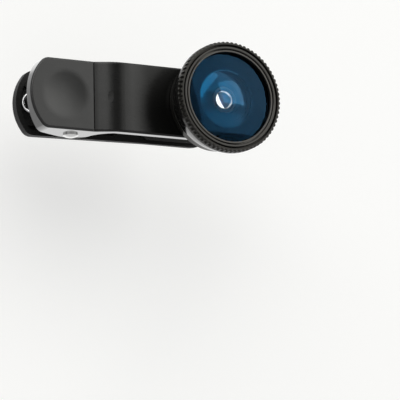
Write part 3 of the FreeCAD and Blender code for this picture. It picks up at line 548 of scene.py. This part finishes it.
# Wide-angle lens: front ring. Turned aluminium, black anodised, with fine flutes milled into its edge from
# the front and a polished land behind them. It is pressed onto the barrel and stops on the band's shoulder.
ring_bore, ring_low, ring_front = 11.95, 10.62, 13.0
groove_radius, groove_floor, groove_bevel = 12.27, 12.1, 0.04
flute_count, flute_floor, flute_half_width, steps_per_flute = 72, 12.6, 0.4, 14
flute_end, flute_run_out, ridge_radius, back_bevel, land_depth = 11.45, 0.35, 12.99, 0.04, 0.1
flute_heights = [10.66, 11.4, 11.47, 11.5, 11.55, 11.62, 11.7, 11.8, 12.2, 12.5, 12.75]
front_bevel = [(12.96, 12.85), (12.9, 12.93), (12.82, 12.98), (12.74, ring_front)]
rim_outline = [(ring_bore, ring_low), (flute_floor, ring_low), (ridge_radius - back_bevel, ring_low)]
rim_outline += [(ridge_radius, height) for height in flute_heights]
rim_outline += front_bevel + [(flute_floor, ring_front), (groove_radius + groove_bevel, ring_front)]
rim_outline += [(groove_radius, ring_front - groove_bevel), (groove_radius, groove_floor)]
rim_outline.append((ring_bore, groove_floor))
rim = turn_on_lathe(rim_outline, flute_count * steps_per_flute)
flute_pitch = 2 * math.pi / flute_count
for vertex in rim.verts:
    x, y, z = vertex.co * 1000
    radius = math.hypot(x, y)
    off_middle = (math.atan2(y, x) / flute_pitch + 0.5) % 1 - 0.5
    across = abs(off_middle) * flute_pitch * ridge_radius / flute_half_width
    run_out = min(max((z - flute_end) / flute_run_out, 0), 1)
    depth = (ridge_radius - flute_floor) * math.sqrt(1 - (1 - run_out) ** 2)
    wall_radius = ridge_radius - depth * (1 - min(across, 1) ** 2)
    if radius > wall_radius:
        vertex.co.xy *= wall_radius / radius
rim_black = anodised("rim_black", dark=(0.007, 0.007, 0.006), light=(0.014, 0.013, 0.011),
                     roughness=0.36, rings_per_m=9000.0, ring_depth=0.000004, level=0.3)
front_ring = piece_from(rim, "fluted_front_ring", "wide_lens", rim_black,
                        "knurled_front_ring")
front_ring.data.materials.append(band_black)
for face in front_ring.data.polygons:
    if face.center.z * 1000 < flute_end and face.center.xy.length * 1000 > ridge_radius - land_depth:
        face.material_index = 1

# Floor: a wide sheet of pale paper below the open jaw's reach. A glow of its own brings it near white for the
# camera and through the glass, and it keeps the object's shadow. In polished faces it is dimmer beyond the
# grip end and on the near side. From below it is clear.
floor_z, floor_half = -0.0325, 1.5
floor_shape = bmesh.new()
bmesh.ops.create_grid(floor_shape, x_segments=1, y_segments=1, size=floor_half)
bmesh.ops.translate(floor_shape, verts=floor_shape.verts, vec=(0, 0, floor_z))
floor_mesh = bpy.data.meshes.new("floor")
floor_shape.to_mesh(floor_mesh)
floor_shape.free()
floor = bpy.data.objects.new("floor", floor_mesh)
bpy.context.scene.collection.objects.link(floor)
lit_paper, shown_paper, mirror_black = (0.86, 0.86, 0.85), (0.62, 0.62, 0.615), (0.0, 0.0, 0.0)
shown_glow, mirror_glow, dim_share = 0.42, 1.15, 0.6
grip_from, grip_to, near_from, near_to = -0.048, -0.044, -0.045, -0.02
paper, tree, shader, place = finish("pale_paper", lit_paper, 0.9, Specular_IOR_Level=0.05,
                                    Emission_Color=(1, 1, 1, 1))
ray = add(tree, "ShaderNodeLightPath").outputs
on_floor = split_axes(tree, place)
beyond_grip = fade(tree, on_floor["X"], grip_from, grip_to, dim_share, 1.0)
near_side = fade(tree, on_floor["Y"], near_from, near_to, dim_share, 1.0)
paper_glow = reckon(tree, "MULTIPLY", reckon(tree, "MULTIPLY", beyond_grip, near_side), mirror_glow)
in_polish = reckon(tree, "MULTIPLY", ray["Is Glossy Ray"], paper_glow)
looked_at = reckon(tree, "MAXIMUM", ray["Is Camera Ray"], ray["Is Transmission Ray"])
glow = reckon(tree, "MULTIPLY_ADD", looked_at, shown_glow, in_polish)
tree.links.new(glow, shader.inputs["Emission Strength"])
seen = blend_tint(tree, looked_at, lit_paper, shown_paper)
tree.links.new(blend_tint(tree, ray["Is Glossy Ray"], seen, mirror_black), shader.inputs["Base Color"])
from_below = add(tree, "ShaderNodeNewGeometry").outputs["Backfacing"]
tree.links.new(reckon(tree, "SUBTRACT", 1.0, from_below), shader.inputs["Alpha"])
floor.data.materials.append(paper)

# Surround: the white walls and ceiling of a studio, plain white to the camera. Polished faces and glass
# mirror them with a dark gap overhead where the camera stands, and a little darker between the two lamps, low
# down and on the near side.
gap_middle, gap_edge, gap_core, gap_strength = (0.0, 0.17, 0.985), 0.95, 0.99, 0.05
key_side, window_side, edge_blend, between_lamps = (0.791, -0.475, 0.385), (-0.9, 0.0, 0.436), 0.01, 0.85
skyline_low, skyline_high, skyline_strength = 0.1, 0.4, 0.4
side_low, side_high, side_strength = 0.0, 0.12, 0.25
front_low, front_high, front_strength = -0.25, -0.1, 0.5
room_fill, white = 0.4, 1.0
world = bpy.data.worlds.new("white_studio")
bpy.context.scene.world = world
world.use_nodes = True
sky = world.node_tree
backdrop = sky.nodes["Background"]
ray = add(sky, "ShaderNodeLightPath").outputs
facing = add(sky, "ShaderNodeTexCoord").outputs["Generated"]


def towards(way):
    """How far a direction in the room points along another, from -1 to 1."""
    return add(sky, "ShaderNodeVectorMath", {0: facing, 1: way}, operation="DOT_PRODUCT").outputs["Value"]


def soft_fade(value, start, end, low, high):
    """A fade with soft ends."""
    return fade(sky, value, start, end, low, high, interpolation_type="SMOOTHSTEP")


gap = soft_fade(towards(gap_middle), gap_edge, gap_core, 1.0, gap_strength)
within = reckon(sky, "MINIMUM", towards(key_side), towards(window_side))
inside = fade(sky, within, -edge_blend, edge_blend, 1.0, between_lamps)
sides = split_axes(sky, facing)
skyline = soft_fade(sides["Z"], skyline_low, skyline_high, skyline_strength, 1.0)
far_wall = soft_fade(sides["Y"], side_low, side_high, side_strength, 1.0)
front_wall = soft_fade(sides["Y"], front_low, front_high, front_strength, 0.0)
walls = reckon(sky, "ADD", far_wall, front_wall)
room = gap
for dimmer in (inside, skyline, walls):
    room = reckon(sky, "MULTIPLY", room, dimmer)
in_polish_or_glass = reckon(sky, "MAXIMUM", ray["Is Glossy Ray"], ray["Is Transmission Ray"])
lit = blend_value(sky, in_polish_or_glass, room_fill, room)
sky.links.new(blend_value(sky, ray["Is Camera Ray"], lit, white), backdrop.inputs["Strength"])
backdrop.inputs["Color"].default_value = (1, 1, 1, 1)


# Lamps: two large soft boxes, faintly warm, one over the jaw end and one beyond the grip end on the far side.
# Their straight edges draw the crescent and the petal in the front glass. The camera doesn't see them.
def soft_box(name, way, edge, away, width, height, radiance):
    """Area light that faces the origin from a direction, one edge along another, evenly bright all over."""
    lamp = bpy.data.lights.new(name, "AREA")
    lamp.shape = "RECTANGLE"
    lamp.size, lamp.size_y = width, height
    lamp.energy = radiance * math.pi * width * height
    lamp.color = (1.0, 1.0, 0.96)
    lamp_object = bpy.data.objects.new(name, lamp)
    back = Vector(way).normalized()
    across = back.cross(Vector(edge)).normalized()
    turn = Matrix((across.cross(back), across, back)).transposed().to_4x4()
    lamp_object.matrix_world = Matrix.Translation(back * away) @ turn
    lamp_object.visible_camera = False
    bpy.context.scene.collection.objects.link(lamp_object)


soft_box("key_light", (0.6368, 0.4266, 0.6424), (0, 1, 0), away=2.4, width=1.72, height=2.26, radiance=1.75)
soft_box("window_light", (-0.3645, 0.7214, 0.587), (-0.609, -0.662, 0.435), away=2.4, width=2.76, height=2.13,
         radiance=2.0)

# Camera: it stands where the photograph was taken from, above the grip end on the near side, and has a long
# lens. The view transform is the plain one, so colours render as they are written.
camera_right = Vector((0.88711, -0.02251, 0.461))
camera_up = Vector((-0.06849, 0.98133, 0.1797))
camera_back = Vector((-0.45644, -0.19099, 0.86901))
camera_place = (-0.25201, -0.12675, 0.47607)
camera_data = bpy.data.cameras.new("camera")
camera_data.sensor_width = 36
camera_data.lens = 211.5
camera_data.clip_start, camera_data.clip_end = 0.01, 10
camera = bpy.data.objects.new("camera", camera_data)
camera.matrix_world = (Matrix.Translation(camera_place)
                       @ Matrix((camera_right, camera_up, camera_back)).transposed().to_4x4())
bpy.context.scene.collection.objects.link(camera)
bpy.context.scene.camera = camera
bpy.context.scene.view_settings.view_transform = "Standard"
